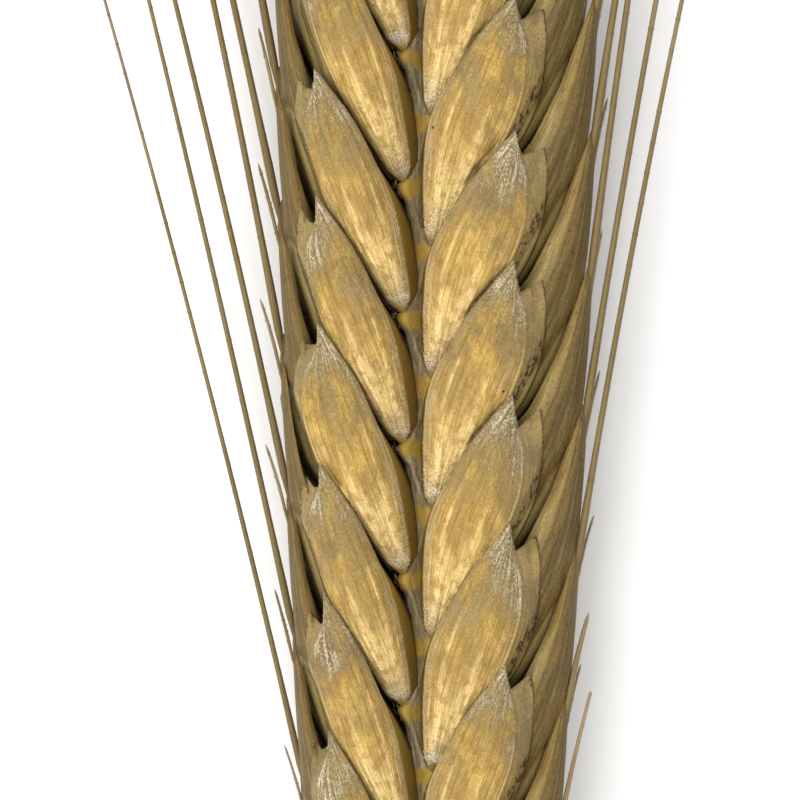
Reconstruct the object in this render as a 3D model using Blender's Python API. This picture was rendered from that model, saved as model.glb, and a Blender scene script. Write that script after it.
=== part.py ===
"""A ripe ear of two-rowed, hulled and bearded wheat with a short length of its straw, lying down.

The ear points along +Y and its two rows of spikelets stand out along -X and +X. The table is z = 0.
Spikelets alternate from row to row, and each next one is turned half a turn about the ear.
"""

import math
import random

import bmesh
import bpy
import numpy as np
from mathutils import Matrix, Vector

MM = 0.001

# Driving dimensions of the whole ear, in metres
SPIKELETS = 24
INTERNODE = 2.3 * MM
AXIS_HEIGHT = 2.75 * MM
STRAW_LENGTH = 28 * MM
STRAW_RADIUS = 1.0 * MM
LONG_AWN = 66 * MM
SHORT_AWN = 3.2 * MM
TOP_AWN = 45 * MM
AWN_RADIUS = 0.19 * MM
DRAW_SEED = 7

# Shape of the awns: sides and points of a tube, share of the radius lost on the way, heights of
# their tips over the table in turn, and the spikelets whose long awn has broken off, with the share left
AWN_SIDES = 3
LONG_AWN_POINTS = 7
SHORT_AWN_POINTS = 2
AWN_TAPER = 0.7
AWN_ENDS = (0.7 * MM, 2.3 * MM, 3.9 * MM, 5.5 * MM)
AWN_END_SPREAD = 0.2
AWN_RISE_POWER = 1.3
BROKEN_AWNS = {0: 0.1, 2: 0.06}

# Lean of the awns away from the ear in degrees: of the right row, of the left row, how much it
# varies, what wider spikelets above add to it, and how much further an awn bows on its way
LEAN_RIGHT = 7.3
LEAN_LEFT = 10.4
LEAN_SPREAD = 1
LEAN_CLEAR = 50
BOW = (2.0, 5.0)

# Gap between the spikelets of a row, how far past a lemma's tip it is kept, and the shortest edge
# that a fused body keeps
ROW_GAP = 0.12 * MM
TIP_CLEAR = 0.5
FINEST_EDGE = 0.01 * MM

# How long and how wide the spikelets are along the ear, as a share of a full one
PLACES = (0, 3, 7, 13, 17, 21, 24)
LENGTHS = (0.84, 0.93, 1.0, 1.03, 1.0, 0.9, 0.76)
WIDTHS = (0.78, 0.9, 0.99, 1.04, 0.97, 0.8, 0.58)

# Rails of the front and back glumes of a full spikelet, in millimetres from its joint on the rachis:
# height up the ear, distance out from the ear's axis, and distance from the middle plane
INNER_FRONT = (
    (0.1, 0.26, 0.95), (1.1, 0.2, 1.5), (2.6, 0.2, 1.95), (4.2, 0.4, 2.3),
    (5.7, 1.15, 2.5), (7.1, 2.05, 2.6), (8.5, 3.3, 2.65),
)
INNER_BACK = (
    (0.1, 0.28, 0.95), (1.0, 0.35, 1.5), (2.55, 0.6, 1.95), (3.9, 0.92, 2.3),
    (5.4, 1.54, 2.5), (6.9, 2.3, 2.6), (8.6, 3.5, 2.65),
)
KEEL_FRONT = (
    (0.0, 0.6, 0.95), (0.8, 1.2, 1.6), (2.1, 2.2, 2.1), (3.7, 3.05, 2.5),
    (5.2, 3.6, 2.6), (6.4, 3.68, 2.6), (7.25, 3.45, 2.5),
)
KEEL_BACK = (
    (0.0, 0.6, 0.95), (0.8, 1.2, 1.6), (2.1, 2.3, 2.0), (3.8, 3.15, 2.35),
    (5.3, 3.7, 2.4), (6.5, 3.87, 2.4), (7.45, 3.5, 2.4),
)
MARGIN_FRONT = (
    (0.0, 0.7, 0.75), (0.8, 1.3, 1.2), (2.1, 2.5, 1.45), (3.8, 3.7, 1.7),
    (5.3, 4.25, 1.8), (6.7, 4.4, 1.8), (7.7, 4.28, 1.85),
)
MARGIN_BACK = (
    (0.0, 0.7, 0.75), (0.8, 1.3, 1.1), (2.1, 2.4, 1.25), (3.8, 3.5, 1.35),
    (5.3, 4.0, 1.35), (6.7, 4.15, 1.4), (7.8, 4.05, 1.6),
)
# How far each ring's crown stands up from its rails, where along the ring the crown's points lie, and
# how far the root of a glume lies under its face
FACE_BULGE = (0.1, 0.42, 0.62, 0.6, 0.46, 0.3, 0.1)
CROWN_SHARES = (0.3, 0.7)
UNDERSIDE = 0.6

# Lemmas of a full spikelet: height, inner edge, outer edge, top and floor of the body.
# Those of the left row stand closer to the ear than those of the right row.
LEMMA_RIGHT = (
    (0.0, 0.42, 0.95, 0.7, -0.15), (1.8, 0.42, 2.5, 1.45, -0.15), (4.0, 0.6, 4.3, 2.0, -0.15),
    (6.0, 2.0, 5.2, 2.15, -0.15), (8.0, 3.6, 5.7, 2.1, -0.05), (10.0, 4.7, 5.95, 1.75, 0.3),
    (12.0, 5.55, 6.1, 1.35, 0.7), (13.0, 5.85, 6.15, 1.15, 0.8),
)
LEMMA_LEFT = (
    (0.0, 0.42, 0.95, 0.7, -0.15), (1.8, 0.42, 2.4, 1.45, -0.15), (4.0, 0.6, 3.8, 2.0, -0.15),
    (6.0, 1.95, 4.35, 2.15, -0.15), (8.0, 3.25, 4.6, 2.1, -0.05), (10.0, 3.9, 4.78, 1.75, 0.3),
    (12.0, 4.34, 4.9, 1.35, 0.7), (13.0, 4.64, 4.94, 1.15, 0.8),
)

# Tip of a lemma, its shoulder as a share of its depth, how much shorter and slimmer the second lemma
# is, how far the two rows lap at the middle plane, and how deep an awn's root is sunk in the tip
LEMMA_TIP = 13.0
LEMMA_TIP_DEPTH = 0.97
LEMMA_SHOULDER = 0.65
SHORT_LEMMA = 0.93
SHORT_INSET = 0.06
BODY_LAP = 0.45
LAP_FROM = 2.5
LAP_OVER = 2.0
AWN_ROOT = 1.0
AWN_INSET = 0.16

# The straw: place along it from the first joint and share of full radius. The rachis at a joint:
# height, shift toward the joint's spikelet, half width and half depth.
STRAW_SIZES = (
    (-28.0, 1.0), (-22.0, 0.99), (-16.0, 0.97), (-10.0, 0.93), (-5.0, 0.87), (-2.6, 0.75),
    (-1.2, 0.58),
)
RACHIS_JOINT = ((-1.1, 0, 0.36, 0.62), (-0.15, 0.12, 0.46, 0.8), (0.1, 0, 0.36, 0.7))
RACHIS_SIDES = 6

# The top spikelet: height, distance from the ear's axis, half width and half depth
TOP_BODY = (
    (0.1, 0, 0.25, 0.5), (1.4, 0, 0.4, 0.9), (3.2, 0, 0.85, 1.3), (5.0, 0, 0.8, 1.2),
    (7.4, 0, 0.3, 0.4),
)
TOP_GLUME = (
    (0.2, 0.1, 0.15, 0.4), (1.2, 0.25, 0.25, 0.9), (2.8, 0.65, 0.42, 1.25),
    (4.4, 0.85, 0.4, 1.1),
    (6.2, 0.75, 0.15, 0.35),
)
TOP_AWN_ROOT = (0.1, 7.0)
TOP_AWN_POINTS = 5
TOP_LEAN = 3
TOP_BOW = 2
TOP_RISE = 1.0


def between(table, height, column):
    """A value of a rail or lemma table at one height."""
    return float(np.interp(height, [row[0] for row in table], [row[column] for row in table]))


def length_at(place):
    """Share of full length for the spikelet at one place along the ear."""
    return float(np.interp(place, PLACES, LENGTHS))


def width_at(place):
    """Share of full width for the spikelet at one place along the ear."""
    return float(np.interp(place, PLACES, WIDTHS))


def node_height(place):
    """Distance of one joint of the rachis from the first, along the ear, in millimetres."""
    return place * INTERNODE / MM


def rails(side):
    """The inner rail, the keel and the outer margin of the front or the back glume."""
    if side > 0:
        return INNER_FRONT, KEEL_FRONT, MARGIN_FRONT
    return INNER_BACK, KEEL_BACK, MARGIN_BACK


def row_of(place):
    """The side on which a spikelet stands: 1 for the right row and -1 for the left one."""
    return 1 if place % 2 == 0 else -1


def lemma_of(place):
    """The lemma table of the row in which a place lies."""
    return LEMMA_RIGHT if row_of(place) > 0 else LEMMA_LEFT


def clamp(value):
    """A value kept from 0 to 1."""
    return min(max(value, 0), 1)


def body_start(place, height, depth):
    """How far out a full spikelet's body starts. Its inner face slants, so that rows lap there."""
    table = lemma_of(place)
    share = clamp(depth / between(table, height, 3))
    lap = BODY_LAP * clamp((height - LAP_FROM) / LAP_OVER)
    return between(table, height, 1) + lap * (1 - share)


def start_of(place, side, height, depth):
    """How far out a full spikelet starts at one height, that far from the ear's middle plane.

    A glume's inner rail hangs over the spikelet above it, so there is room below the rail.
    """
    inner, _, margin = rails(side)
    body = body_start(place, height, depth)
    if height > inner[-1][0]:
        return body
    rail_out, rail_depth = between(inner, height, 1), between(inner, height, 2)
    root_out = rail_out + UNDERSIDE * (between(margin, height, 1) - rail_out)
    root_depth = UNDERSIDE * between(margin, height, 2)
    way = (rail_depth - depth) / (rail_depth - root_depth)
    return min(body, rail_out + clamp(way) * (root_out - rail_out))


def fitted(place, side, point):
    """A point of a spikelet, drawn in where the one below it in its row would meet it.

    Points are in millimetres of the spikelet itself: out, up the ear, and from the middle plane.
    """
    out, height, depth = point
    below = place - 2
    if below < 0:
        return Vector(point)
    stretch = length_at(place) / length_at(below)
    level = height * stretch + node_height(2) / length_at(below)
    if level > LEMMA_TIP + TIP_CLEAR:
        return Vector(point)
    limit = start_of(below, side, level, depth * stretch) * width_at(below) - ROW_GAP / MM
    return Vector((min(out, limit / width_at(place)), height, depth))


def closed_loft(rings):
    """A closed mesh through rings of points that all have the same count."""
    bm = bmesh.new()
    loops = [[bm.verts.new(point) for point in ring] for ring in rings]
    count = len(loops[0])
    for lower, upper in zip(loops, loops[1:]):
        for i in range(count):
            j = (i + 1) % count
            bm.faces.new((lower[i], lower[j], upper[j], upper[i]))
    bm.faces.new(loops[0])
    bm.faces.new(loops[-1])
    bmesh.ops.triangulate(bm, faces=bm.faces)
    bmesh.ops.recalc_face_normals(bm, faces=bm.faces)
    return bm


def add_object(name, bm, material=None):
    """Turns a bmesh into an object of the scene."""
    mesh = bpy.data.meshes.new(name)
    bm.to_mesh(mesh)
    bm.free()
    piece = bpy.data.objects.new(name, mesh)
    bpy.context.scene.collection.objects.link(piece)
    if material:
        mesh.materials.append(material)
    return piece


def glume(place, side):
    """One glume: a keeled husk with a pointed tooth, a notch and a blunt shoulder tooth."""
    rings = []
    for inner, keel, margin, bulge in zip(*rails(side), FACE_BULGE):
        first, ridge, rim = (Vector((row[1], row[0], row[2])) for row in (inner, keel, margin))
        ridge, rim = fitted(place, side, ridge), fitted(place, side, rim)
        lift = Vector((0, 0, bulge))
        crown = [fitted(place, side, first.lerp(ridge, share) + lift) for share in CROWN_SHARES]
        root = first.lerp(rim, UNDERSIDE)
        root.z = UNDERSIDE * rim.z
        rings.append([first, *crown, ridge, rim, root])
    return closed_loft([[(p.x, p.y, side * p.z) for p in ring] for ring in rings])


def lemma(place, side, length):
    """One lemma: the inner husk, which runs past the glume along the ear's edge to its awn."""
    rings = []
    for height, inner, outer, top, floor in lemma_of(place):
        shoulder = floor + LEMMA_SHOULDER * (top - floor)
        inset = SHORT_INSET if side < 0 else 0
        section = (
            (body_start(place, height, floor) + inset, floor),
            (body_start(place, height, shoulder) + inset, shoulder),
            ((inner + outer) / 2, top),
            (outer - inset, (floor + top) / 2),
            (outer - inset, floor),
        )
        ring = [fitted(place, side, (out, height * length, z)) for out, z in section]
        rings.append([(p.x, p.y, side * p.z) for p in ring])
    return closed_loft(rings)


def awn_path(length, lean, bow, rise, base, points):
    """Points of an awn, which leans outward and bows a little more on its way."""
    path = []
    for i in range(points + 1):
        way = i / points
        reach = length * way
        angle = lean + bow * way
        climb = rise * way ** AWN_RISE_POWER
        path.append(base + Vector((reach * math.sin(angle), reach * math.cos(angle), climb)))
    return path


def tube(path, radii, sides):
    """A tapering closed tube along a path."""
    rings = []
    for i, point in enumerate(path):
        ahead = path[min(i + 1, len(path) - 1)] - path[max(i - 1, 0)]
        turn = ahead.to_track_quat("Z", "Y")
        turns = [2 * math.pi * k / sides for k in range(sides)]
        rings.append([point + turn @ Vector((math.cos(a), math.sin(a), 0)) * radii[i] for a in turns])
    return closed_loft(rings)


def awn(place, side, length, top, lean, bow, rise):
    """An awn that grows out of a lemma's tip."""
    points = LONG_AWN_POINTS if length > 2 * SHORT_AWN / MM else SHORT_AWN_POINTS
    out = lemma_of(place)[-1][2] - AWN_INSET
    base = Vector((out, top - AWN_ROOT, side * LEMMA_TIP_DEPTH))
    path = awn_path(length, lean, bow, rise, base, points)
    return tube(path, awn_radii(points), AWN_SIDES)


def awn_radii(points):
    """Radii of an awn from its root to its tip."""
    return [AWN_RADIUS / MM * (1 - AWN_TAPER * i / points) for i in range(points + 1)]


def union(name, parts, material):
    """Fuses closed meshes into one closed body."""
    group = bpy.data.collections.new(name + "_parts")
    bpy.context.scene.collection.children.link(group)
    first = parts[0]
    for part in parts[1:]:
        bpy.context.scene.collection.objects.unlink(part)
        group.objects.link(part)
    joint = first.modifiers.new("Union", "BOOLEAN")
    joint.operation = "UNION"
    joint.operand_type = "COLLECTION"
    joint.collection = group
    joint.solver = "EXACT"
    bpy.context.view_layer.update()
    fused = first.evaluated_get(bpy.context.evaluated_depsgraph_get())
    mesh = bpy.data.meshes.new_from_object(fused)
    first.modifiers.clear()
    for part in parts:
        bpy.data.objects.remove(part)
    bpy.data.collections.remove(group)
    mesh.name = name
    mesh.materials.clear()
    mesh.materials.append(material)
    whole = bpy.data.objects.new(name, mesh)
    bpy.context.scene.collection.objects.link(whole)
    return whole


def keep_largest_body(piece):
    """Drops loose scraps and sealed hollows, so that one closed body with no tiny edges is left."""
    bm = bmesh.new()
    bm.from_mesh(piece.data)
    bm.faces.ensure_lookup_table()
    left, bodies = set(bm.faces), []
    while left:
        body, todo = set(), [left.pop()]
        while todo:
            face = todo.pop()
            body.add(face)
            near = {other for edge in face.edges for other in edge.link_faces} - body
            todo.extend(near & left)
            left -= near
        bodies.append(body)
    bodies.sort(key=lambda body: sum(face.calc_area() for face in body))
    for body in bodies[:-1]:
        bmesh.ops.delete(bm, geom=list(body), context="FACES")
    bmesh.ops.triangulate(bm, faces=bm.faces)
    bmesh.ops.dissolve_degenerate(bm, edges=bm.edges, dist=FINEST_EDGE / MM)
    bmesh.ops.triangulate(bm, faces=bm.faces)
    bm.to_mesh(piece.data)
    bm.free()


def place_spikelet(piece, place):
    """Sizes a spikelet, turns it to its row and moves it to its joint."""
    row_turn = Matrix.Rotation(math.pi * (place % 2), 4, "Y")
    length = length_at(place)
    scale = Matrix.Diagonal((width_at(place) * MM, length * MM, length * MM, 1))
    joint = Vector((0, node_height(place) * MM, AXIS_HEIGHT))
    piece.data.transform(Matrix.Translation(joint) @ row_turn @ scale)


def cut_flat(piece):
    """Cuts what would reach below the table flat at z = 0."""
    bm = bmesh.new()
    bm.from_mesh(piece.data)
    everything = list(bm.verts) + list(bm.edges) + list(bm.faces)
    cut = bmesh.ops.bisect_plane(
        bm, geom=everything, dist=1e-7, plane_co=(0, 0, 0), plane_no=(0, 0, -1), clear_outer=True
    )
    rim = [item for item in cut["geom_cut"] if isinstance(item, bmesh.types.BMEdge)]
    if rim:
        bmesh.ops.holes_fill(bm, edges=rim, sides=0)
    bmesh.ops.triangulate(bm, faces=bm.faces)
    bm.to_mesh(piece.data)
    bm.free()


def spikelet(place, draw, material):
    """One spikelet: two glumes, two lemmas, a long awn and a short one."""
    name = f"spikelet_{place + 1:02d}"
    length, row = length_at(place), row_of(place)
    widening = width_at(place + 2) - width_at(place)
    lean = LEAN_RIGHT if row > 0 else LEAN_LEFT
    lean = math.radians(lean + LEAN_CLEAR * max(widening, 0) + draw.uniform(-LEAN_SPREAD, LEAN_SPREAD))
    bow = math.radians(draw.uniform(*BOW))
    end = AWN_ENDS[place // 2 % len(AWN_ENDS)] / MM + draw.uniform(-AWN_END_SPREAD, AWN_END_SPREAD)
    whole_awn = BROKEN_AWNS.get(place, 1)
    rise = whole_awn * (row * (end - AXIS_HEIGHT / MM) / length - LEMMA_TIP_DEPTH)
    long_awn = whole_awn * LONG_AWN / MM / length
    shapes = (
        lemma(place, 1, 1.0),
        lemma(place, -1, SHORT_LEMMA),
        glume(place, 1),
        glume(place, -1),
        awn(place, 1, long_awn, LEMMA_TIP, lean, bow, rise),
        awn(place, -1, SHORT_AWN / MM, LEMMA_TIP * SHORT_LEMMA, lean, bow, 0),
    )
    parts = [add_object(f"{name}_{i}", shape) for i, shape in enumerate(shapes)]
    whole = union(name, parts, material)
    keep_largest_body(whole)
    place_spikelet(whole, place)
    cut_flat(whole)
    return whole


def straw_and_rachis(material):
    """The cut straw, and above it the flattened axis of the ear with a collar at each joint."""
    rings = []
    turns = [2 * math.pi * k / RACHIS_SIDES for k in range(RACHIS_SIDES)]
    straw, radius, axis = STRAW_LENGTH / MM, STRAW_RADIUS / MM, AXIS_HEIGHT / MM

    def ring(y, x, z, half_width, half_depth):
        rings.append([(x + half_width * math.cos(a), y, z + half_depth * math.sin(a)) for a in turns])

    for y, size in STRAW_SIZES:
        droop = (axis - radius) * (y / straw) ** 2
        ring(y, 0, axis - droop, radius * size, radius * size)
    for place in range(SPIKELETS + 1):
        size = width_at(place)
        for height, shift, half_width, half_depth in RACHIS_JOINT:
            if place or height > RACHIS_JOINT[0][0]:
                middle = shift * size * row_of(place)
                ring(node_height(place) + height, middle, axis, half_width * size, half_depth * size)
    bm = closed_loft(rings)
    bmesh.ops.scale(bm, vec=(MM, MM, MM), verts=bm.verts)
    return add_object("straw_and_rachis", bm, material)


def spindle(rows, sides=6):
    """A closed husk on the ear's axis from rows of height, middle, half width and half depth."""
    turns = [2 * math.pi * (k + 0.5) / sides for k in range(sides)]
    rings = []
    for height, middle, half_width, half_depth in rows:
        rings.append([(middle + half_width * math.cos(a), height, half_depth * math.sin(a)) for a in turns])
    return closed_loft(rings)


def top_spikelet(material):
    """The small spikelet that ends the ear, turned a quarter so that its glumes stand left and right."""
    name = "spikelet_top"
    shapes = [spindle(TOP_BODY)]
    for side in (1, -1):
        shapes.append(spindle([(h, side * middle, width, depth) for h, middle, width, depth in TOP_GLUME]))
        lean, bow = side * math.radians(TOP_LEAN), side * math.radians(TOP_BOW)
        base = Vector((side * TOP_AWN_ROOT[0], TOP_AWN_ROOT[1], 0))
        path = awn_path(TOP_AWN / MM, lean, bow, TOP_RISE, base, TOP_AWN_POINTS)
        shapes.append(tube(path, awn_radii(TOP_AWN_POINTS), AWN_SIDES))
    whole = union(name, [add_object(f"{name}_{i}", shape) for i, shape in enumerate(shapes)], material)
    keep_largest_body(whole)
    joint = Vector((0, node_height(SPIKELETS) * MM, AXIS_HEIGHT))
    whole.data.transform(Matrix.Translation(joint) @ Matrix.Scale(MM, 4))
    return whole


def make_material(name, colour, roughness):
    """A plain dry straw finish."""
    material = bpy.data.materials.new(name)
    material.use_nodes = True
    shader = material.node_tree.nodes["Principled BSDF"]
    shader.inputs["Base Color"].default_value = (*colour, 1)
    shader.inputs["Roughness"].default_value = roughness
    shader.inputs["Metallic"].default_value = 0
    return material


def centre_everything():
    """Puts the origin on the table under the middle of the whole part."""
    pieces = list(bpy.data.objects)
    corners = [vertex.co for piece in pieces for vertex in piece.data.vertices]
    middle = [(min(c[k] for c in corners) + max(c[k] for c in corners)) / 2 for k in (0, 1)]
    for piece in pieces:
        piece.data.transform(Matrix.Translation((-middle[0], -middle[1], 0)))


def main():
    for item in list(bpy.data.objects):
        bpy.data.objects.remove(item)
    husk = make_material("husk", (0.55, 0.36, 0.13), 0.6)
    straw = make_material("straw", (0.62, 0.45, 0.2), 0.45)
    draw = random.Random(DRAW_SEED)
    straw_and_rachis(straw)
    for place in range(SPIKELETS):
        spikelet(place, draw, husk)
    top_spikelet(husk)
    centre_everything()


main()
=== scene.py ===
"""Looks of a ripe, bearded wheat ear lying on a white table, seen from straight above.

The fine husks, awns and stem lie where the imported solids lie. Lengths are in metres in the scene, and
in millimetres in the tables, which give places as height up the ear, distance out from its axis and
depth from its middle plane.
"""

import math
import random

import bmesh
import bpy
import numpy as np
from mathutils import Matrix, Vector


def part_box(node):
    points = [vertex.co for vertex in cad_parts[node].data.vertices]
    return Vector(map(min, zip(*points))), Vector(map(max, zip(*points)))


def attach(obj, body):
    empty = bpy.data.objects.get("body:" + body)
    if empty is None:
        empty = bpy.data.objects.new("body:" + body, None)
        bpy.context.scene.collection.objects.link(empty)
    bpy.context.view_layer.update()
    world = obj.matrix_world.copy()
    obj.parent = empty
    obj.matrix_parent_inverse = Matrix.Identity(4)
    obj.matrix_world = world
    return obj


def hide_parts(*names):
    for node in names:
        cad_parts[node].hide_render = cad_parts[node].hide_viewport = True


MM = 0.001

# The ear
SPIKELETS = 24
INTERNODE = 2.3
AXIS_HEIGHT = 2.75
STRAW_LENGTH = 28
LONG_AWN = 66
SHORT_AWN = 3.2
SHORT_AWN_SLIM = 0.5
TOP_AWN = 45
AWN_ENDS = (0.7, 2.3, 3.9, 5.5)
AWN_END_SPREAD = 0.2
AWN_RISE_POWER = 1.3
BROKEN_AWNS = {0: 0.1, 2: 0.06}
LEAN_RIGHT = 7.3
LEAN_LEFT = 10.4
LEAN_SPREAD = 1
LEAN_CLEAR = 50
BOW = (2.0, 5.0)
ROW_GAP = 0.12
TIP_OVER = 3.2
TIP_ROOM = 1.2
LEDGE = 0.3
CREST = 1.9
DRAW_SEED = 7

# How long and how wide the spikelets are along the ear, as a share of a full one
PLACES = (0, 3, 7, 13, 17, 21, 24)
LENGTHS = (0.84, 0.93, 1.0, 1.03, 1.0, 0.9, 0.76)
WIDTHS = (0.78, 0.9, 0.99, 1.04, 0.97, 0.8, 0.58)

# Rails of the front and back glumes of a full spikelet: height, out and depth
INNER_FRONT = (
    (0.1, 0.26, 0.95), (1.1, 0.2, 1.5), (2.6, 0.2, 1.95), (4.2, 0.4, 2.3),
    (5.7, 1.15, 2.5), (7.1, 2.05, 2.6), (8.5, 3.3, 2.65),
)
INNER_BACK = (
    (0.1, 0.28, 0.95), (1.0, 0.35, 1.5), (2.55, 0.6, 1.95), (3.9, 0.92, 2.3),
    (5.4, 1.54, 2.5), (6.9, 2.3, 2.6), (8.6, 3.5, 2.65),
)
KEEL_FRONT = (
    (0.0, 0.6, 0.95), (0.8, 1.2, 1.6), (2.1, 2.2, 2.1), (3.7, 3.05, 2.5),
    (5.2, 3.6, 2.6), (6.4, 3.68, 2.6), (7.25, 3.45, 2.5),
)
KEEL_BACK = (
    (0.0, 0.6, 0.95), (0.8, 1.2, 1.6), (2.1, 2.3, 2.0), (3.8, 3.15, 2.35),
    (5.3, 3.7, 2.4), (6.5, 3.87, 2.4), (7.45, 3.5, 2.4),
)
MARGIN_FRONT = (
    (0.0, 0.7, 0.75), (0.8, 1.3, 1.2), (2.1, 2.5, 1.45), (3.8, 3.7, 1.7),
    (5.3, 4.25, 1.8), (6.7, 4.4, 1.8), (7.7, 4.28, 1.85),
)
MARGIN_BACK = (
    (0.0, 0.7, 0.75), (0.8, 1.3, 1.1), (2.1, 2.4, 1.25), (3.8, 3.5, 1.35),
    (5.3, 4.0, 1.35), (6.7, 4.15, 1.4), (7.8, 4.05, 1.6),
)
FACE_BULGE = (0.1, 0.42, 0.62, 0.6, 0.46, 0.3, 0.1)
UNDERSIDE = 0.6

# Lemmas of a full spikelet: height, inner edge, outer edge, top and floor of the body
LEMMA_RIGHT = (
    (0.0, 0.42, 0.95, 0.7, -0.15), (1.8, 0.42, 2.5, 1.45, -0.15), (4.0, 0.6, 4.3, 2.0, -0.15),
    (6.0, 2.0, 5.2, 2.15, -0.15), (8.0, 3.6, 5.7, 2.1, -0.05), (10.0, 4.7, 5.95, 1.75, 0.3),
    (12.0, 5.55, 6.1, 1.35, 0.7), (13.0, 5.85, 6.15, 1.15, 0.8),
)
LEMMA_LEFT = (
    (0.0, 0.42, 0.95, 0.7, -0.15), (1.8, 0.42, 2.4, 1.45, -0.15), (4.0, 0.6, 3.8, 2.0, -0.15),
    (6.0, 1.95, 4.35, 2.15, -0.15), (8.0, 3.25, 4.6, 2.1, -0.05), (10.0, 3.9, 4.78, 1.75, 0.3),
    (12.0, 4.34, 4.9, 1.35, 0.7), (13.0, 4.64, 4.94, 1.15, 0.8),
)
LEMMA_TIP = 13.0
LEMMA_TIP_DEPTH = 0.97
TIP_CLOSE = 0.9
LEMMA_SHOULDER = 0.65
SHORT_LEMMA = 0.93
SHORT_INSET = 0.06
BODY_LAP = 0.45
LAP_FROM = 2.5
LAP_OVER = 2.0
AWN_ROOT = 1.0
AWN_INSET = 0.16

# The top spikelet: height, distance from the ear's axis, half width and half depth
TOP_BODY = (
    (0.1, 0, 0.25, 0.5), (1.4, 0, 0.4, 0.9), (3.2, 0, 0.85, 1.3), (5.0, 0, 0.8, 1.2),
    (7.4, 0, 0.3, 0.4),
)
TOP_GLUME = (
    (0.2, 0.1, 0.15, 0.4), (1.2, 0.25, 0.25, 0.9), (2.8, 0.65, 0.42, 1.25),
    (4.4, 0.85, 0.4, 1.1), (6.2, 0.75, 0.15, 0.35),
)
TOP_AWN_ROOT = (0.1, 7.0)
TOP_LEAN = 3
TOP_BOW = 2
TOP_RISE = 1.0

# The stem: place along the straw and share of its radius, then at each joint of the rachis the height,
# shift toward the joint's spikelet, half width and half depth
STRAW_RADIUS = 1.0
STRAW_SIZES = (
    (-28.0, 1.0), (-22.0, 0.99), (-16.0, 0.97), (-10.0, 0.93), (-5.0, 0.87), (-2.6, 0.77),
    (-1.4, 0.66), (-0.7, 0.6),
)
RACHIS_JOINT = (
    (-1.85, -0.1, 0.22, 0.55), (-1.35, 0.08, 0.19, 0.55), (-0.85, 0.22, 0.22, 0.62),
    (-0.5, 0.42, 0.34, 0.78), (-0.2, 0.46, 0.38, 0.8), (0.15, 0.2, 0.26, 0.6),
)

RACHIS_START = -0.3
RACHIS_BASE = 0.5

# How much longer than their neighbours the glumes of some spikelets are
HABITS = {
    3: 0.045, 4: 0.035, 5: 0.03, 6: 0.05, 7: -0.015, 9: 0.01, 11: -0.02, 12: -0.02, 13: -0.05,
}

# How much further out the keels of some spikelets stand
SPREAD = {9: 0.34, 3: 0.1, 10: 0.06, 6: 0.08}

# How finely the pieces are made
GLUME_ROWS = 72
FLANK_COLUMNS = 5
FACE_COLUMNS = 24
WING_COLUMNS = 12
BACK_COLUMNS = 12
LEMMA_ROWS = 60
LEMMA_TOP_COLUMNS = 24
LEMMA_BACK_COLUMNS = 4
AWN_ROWS = 60
AWN_COLUMNS = 8
STEM_COLUMNS = 32
STEM_STEP = 0.12
WELD = 0.0001

# The glume's skin: width and depth of its inner flank on the front and back, its thickness where it is
# free of the body, and how far its wing and the body under it roll down and reach out toward the husk
# below
FLANK_FRONT = 0.08
FLANK_BACK = 0.52
FLANK_DEPTH = 2.0
FLANK_FLOOR = 0.05
SKIN = 0.12
WING_LIFT = 0.07
BASE_BROAD = 0.42
FOOT_CLOSE = 0.06
FOOT_DROP = 0.22
FOOT_SINK = 0.3
RIB = 0.016
RIBS = 6
FACE_ROLL = (0.12, 0.18, 0)
WING_ROLL = (0.32, 0.24, 0.06)
BODY_ROLL = (0.45, 0.22, 0.34)
ROLL_FLOOR = -0.05
REACH_FALL = 0.5
FREE_ROOM = 1.0
AWN_WAYS = (0, 0.012, 0.025, 0.07, 0.3, 1)
AWN_RADII = (0.05, 0.14, 0.16, 0.125, 0.1, 0.035)

# Where the photograph's middle lies from the ear's axis and its first joint, the width of table that
# it shows, and the height over the table at which that width is measured
VIEW_OUT = -0.63
VIEW_UP = 26.725
VIEW_WIDTH = 28.0
VIEW_LEVEL = 4.5
LENS = 300
SENSOR = 36

# Colours, as linear red, green and blue
GOLD = (0.52, 0.34, 0.09)
TAN = (0.36, 0.235, 0.07)
CREAM = (0.76, 0.54, 0.21)
# Painted highlight for the low face of the glumes
HIGHLIGHT_CREAM = (0.95, 0.72, 0.32)
NERVE_BROWN = (0.21, 0.12, 0.03)
ORANGE_BROWN = (0.33, 0.185, 0.045)
DRY_GREY = (0.29, 0.225, 0.105)
OLIVE = (0.22, 0.17, 0.045)
WING_BROWN = (0.2, 0.14, 0.04)
WING_TAN = (0.31, 0.21, 0.07)
BARK_BROWN = (0.17, 0.11, 0.035)
# Painted shade, laid in gaps, on hidden sides and in the rachis's crevice
PAINTED_SHADE_BROWN = (0.04, 0.02, 0.004)
# Painted shade on the lemma's outer flank and on the awns near their roots
PAINTED_SHADE_OLIVE = (0.165, 0.115, 0.038)
STREAK_BROWN = (0.085, 0.055, 0.026)
STREAK_TAN = (0.42, 0.31, 0.13)
STAIN_GREY = (0.17, 0.14, 0.08)
STAIN_BROWN = (0.21, 0.15, 0.07)
SPECK_BLACK = (0.018, 0.01, 0.005)
SILVER = (0.82, 0.71, 0.52)
ROSE_GREY = (0.32, 0.24, 0.13)
SHOULDER_TAN = (0.43, 0.31, 0.125)
FLEECE = (0.93, 0.87, 0.72)
AWN_BROWN = (0.17, 0.115, 0.05)
AWN_TAN = (0.27, 0.2, 0.1)
AWN_STRAW = (0.42, 0.32, 0.17)
AMBER = (0.33, 0.22, 0.035)
JOINT_AMBER = (0.52, 0.34, 0.065)
OLIVE_CREAM = (0.46, 0.36, 0.14)
FLANK_AMBER = (0.3, 0.19, 0.032)
PALE_STRAW = (0.66, 0.5, 0.2)
WARM_GLOSS = (1.0, 0.85, 0.62)


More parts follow.
